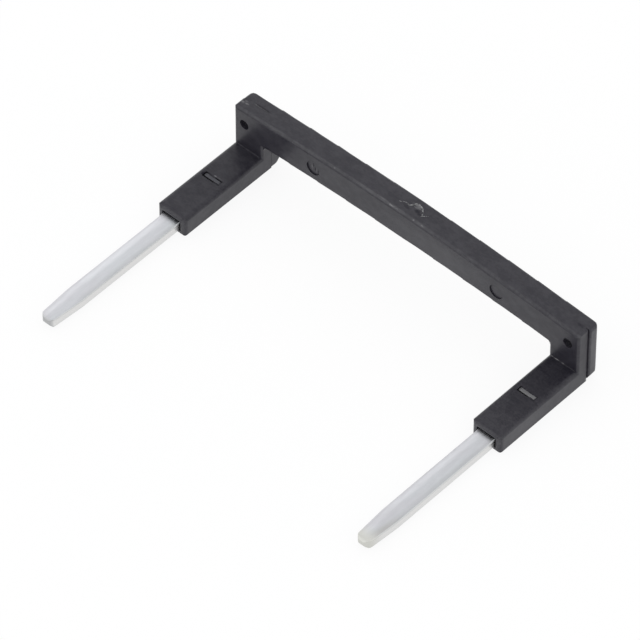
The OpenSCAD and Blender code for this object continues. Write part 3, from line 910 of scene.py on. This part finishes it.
# %% [markdown]
# ## The torn gate
# Plastic flows into its mould through a gate, and where this one was torn off it left two frayed strings, a
# loop and a tail on the top of the bar. The solids have the two low ridges, and these hairs lie on them.
# Plastic that is torn turns white where it was stretched, so their finish goes from grey to pale.

# %% Torn hairs
FRAYED = (0.035, 0.035, 0.04, 1)
WHITENED = (0.24, 0.24, 0.245, 1)
TORN_GRAIN = {"Fine per mm": 9.0, "Broad per mm": 5.0}
WHITE_SPAN = (0.35, 0.6)
TORN_ROUGHNESS = (0.55, 0.8)
# Radius of each hair and its four control points: along the bar, behind the front face and above the top
HAIRS = {
    "torn_string_front": (0.07, (-1.45, 0.95, -0.02), (-1.1, 1.1, 0.0),
                          (-0.75, 1.35, 0.0), (-0.4, 1.15, -0.02)),
    "torn_string_back": (0.07, (-0.5, 1.16, -0.02), (-0.25, 1.22, 0.0),
                         (-0.2, 1.5, -0.02), (0.0, 1.74, -0.03)),
    "torn_loop": (0.075, (-0.2, 1.72, -0.03), (0.45, 1.95, -0.01),
                  (0.95, 1.6, -0.01), (1.3, 0.95, -0.03)),
    "torn_tail": (0.04, (1.2, 0.86, -0.02), (1.35, 0.95, 0.0),
                  (1.5, 1.1, 0.0), (1.75, 1.38, -0.05)),
}


def torn_plastic():
    """Stress-whitened plastic: ragged pale and dark stretches and a rough skin."""
    material, tree, shader = new_material("torn_plastic")
    grain = use(tree, GRAIN, TORN_GRAIN)
    colour = blend(tree, ramp(tree, grain["Broad"], *WHITE_SPAN), FRAYED, WHITENED)
    connect(tree, shader.inputs["Base Color"], colour)
    connect(tree, shader.inputs["Roughness"], ramp(tree, grain["Fine"], *FINE_SPAN, *TORN_ROUGHNESS))
    return material


torn = torn_plastic()
for name, (radius, *controls) in HAIRS.items():
    points = add_frayed(name, [on_top(*point) for point in controls], radius, torn)
    print(name, "points:", len(points), "highest in mm:", round(points[:, 2].max() / MM, 3))

# %% [markdown]
# ## Burrs at the windows
# A rib of the strip was pressed up into the window of each sleeve, and it pushed plastic over parts of the
# gap round it. So the gap is dark in some places and closed in others. A finish can't close a gap, because
# its depth makes it dark, so each burr is a real sliver: the same ragged tube as a hair, laid straight into
# the gap just under the roof of the sleeve, in the plastic of the housing.

# %% Window burrs
PART_SIDES = {"left": -1, "right": 1}
WINDOW_BACK = 4.45
WINDOW_LENGTH = 0.64
RIB_HALF = 0.9
RIB_LENGTH = 0.42
SIDE_GAP = 0.1
BACK_GAP = 0.05
FRONT_GAP = WINDOW_LENGTH - RIB_LENGTH - BACK_GAP
RIB_BACK = FRONT_Y - WINDOW_BACK - BACK_GAP
RIB_FRONT = RIB_BACK - RIB_LENGTH
# Middle of the gap in front of the rib and of the gap behind it
GAP_Y = {"front": RIB_FRONT - FRONT_GAP / 2, "back": RIB_BACK + BACK_GAP / 2}
BURR_RADIUS = {"front": 0.1, "back": 0.1, "end": 0.07}
# Start and end of each burr along the rib, in half widths: -1 is the rib's left end and 1 its right end
BURR_SPAN = {
    "front": {"left": (0.4, 1.15), "right": (0.25, 1.15)},
    "back": {"left": (-0.85, 0.2), "right": (-1.1, 1.15)},
}


def burr_ends(gap, name):
    """Both ends of a burr in plan: along the rib in front of it or behind it, or across at its right end."""
    middle = PART_SIDES[name] * HALF_PITCH
    if gap == "end":
        x = middle + RIB_HALF + SIDE_GAP / 2
        return [(x, GAP_Y["front"]), (x, RIB_BACK)]
    return [(middle + RIB_HALF * share, GAP_Y[gap]) for share in BURR_SPAN[gap][name]]


for gap, radius in BURR_RADIUS.items():
    for name in PART_SIDES:
        start, end = burr_ends(gap, name)
        level = SLEEVE_TOP - radius
        controls = np.linspace((*start, level), (*end, level), 4)
        add_frayed(gap + "_burr_" + name, controls, radius, housing_finish)
print("burrs at the windows:", len(BURR_RADIUS) * len(PART_SIDES))
